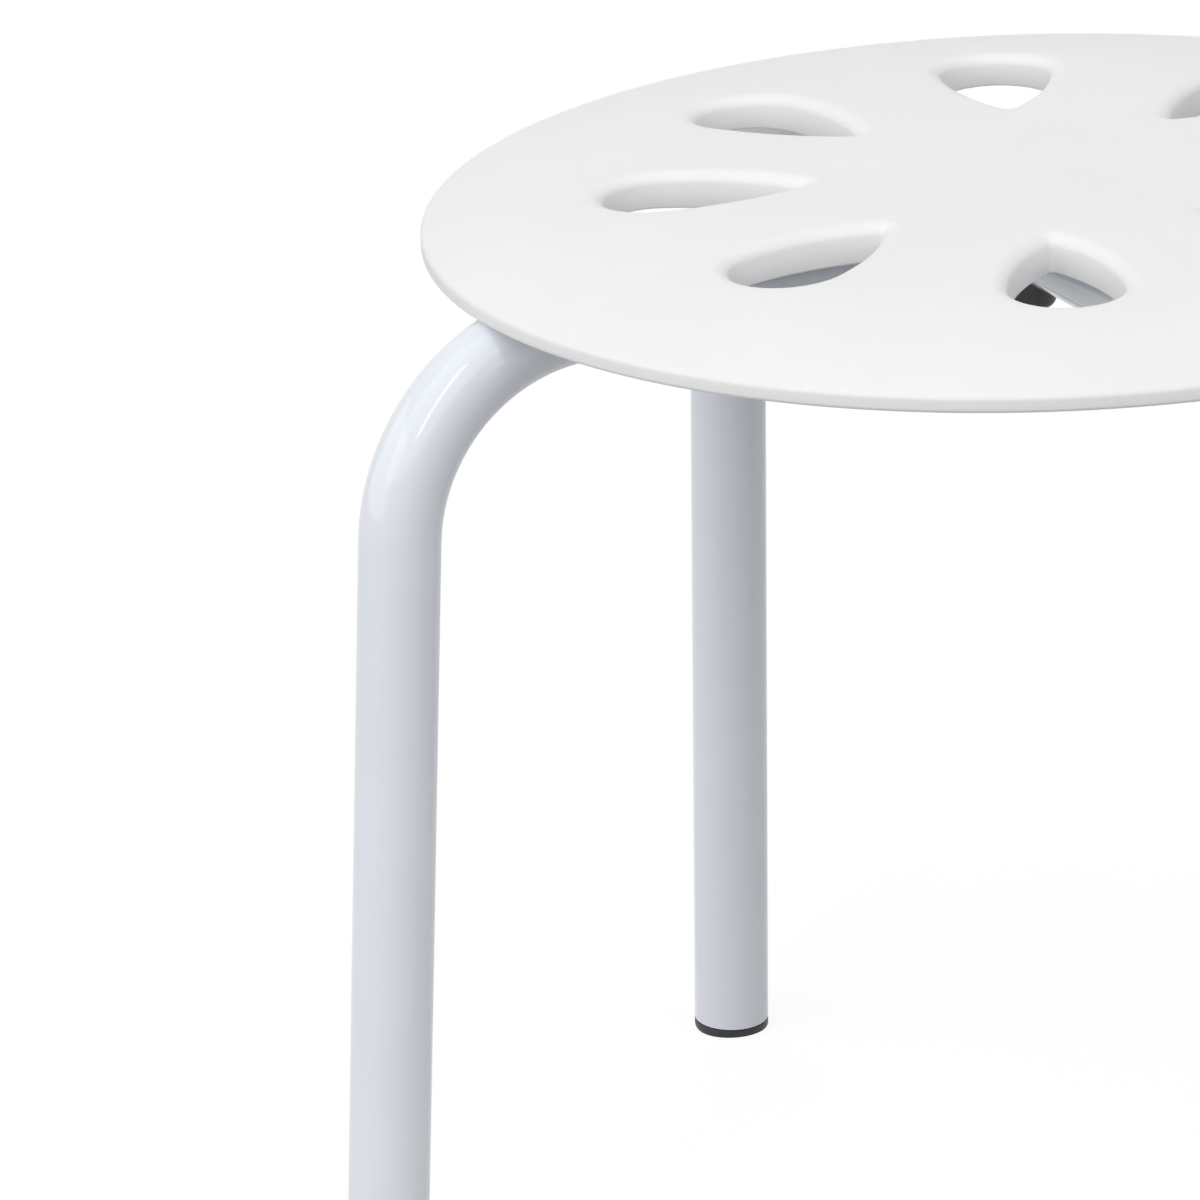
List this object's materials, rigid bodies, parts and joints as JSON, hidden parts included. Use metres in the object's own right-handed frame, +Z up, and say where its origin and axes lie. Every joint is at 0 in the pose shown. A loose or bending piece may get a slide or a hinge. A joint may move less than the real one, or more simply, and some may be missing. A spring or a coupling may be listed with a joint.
{
  "type": "stacking stool",
  "caption": "Low round stacking stool with a crowned plastic seat pierced by petal-shaped holes, on bent white tube legs with black plug feet and stacking bumpers.",
  "frame": {"origin": "on the floor, under the middle of the seat", "axes": "+Z up, -Y to the front, +X to the right; the legs stand on the diagonals"},
  "size_m": [0.298, 0.298, 0.2915],
  "materials": {
    "seat_plastic": "fine satin grain",
    "frame_paint": "gloss powder coat",
    "foot_plastic": "satin black",
    "bumper_rubber": "satin black",
    "screw_steel": "plated"
  },
  "bodies": {
    "root": {"seat": "seat_plastic", "frame_hoop": "frame_paint", "front_left_leg": "frame_paint", "back_right_leg": "frame_paint", "front_weld": "frame_paint", "right_weld": "frame_paint", "back_weld": "frame_paint", "left_weld": "frame_paint", "front_left_foot": "foot_plastic", "front_right_foot": "foot_plastic", "back_right_foot": "foot_plastic", "back_left_foot": "foot_plastic", "centre_bumper": "bumper_rubber", "centre_seat_screw": "screw_steel", "front_left_bumper": "bumper_rubber", "front_left_seat_screw": "screw_steel", "front_right_bumper": "bumper_rubber", "front_right_seat_screw": "screw_steel", "back_right_bumper": "bumper_rubber", "back_right_seat_screw": "screw_steel", "back_left_bumper": "bumper_rubber", "back_left_seat_screw": "screw_steel"}
  },
  "joints": []
}
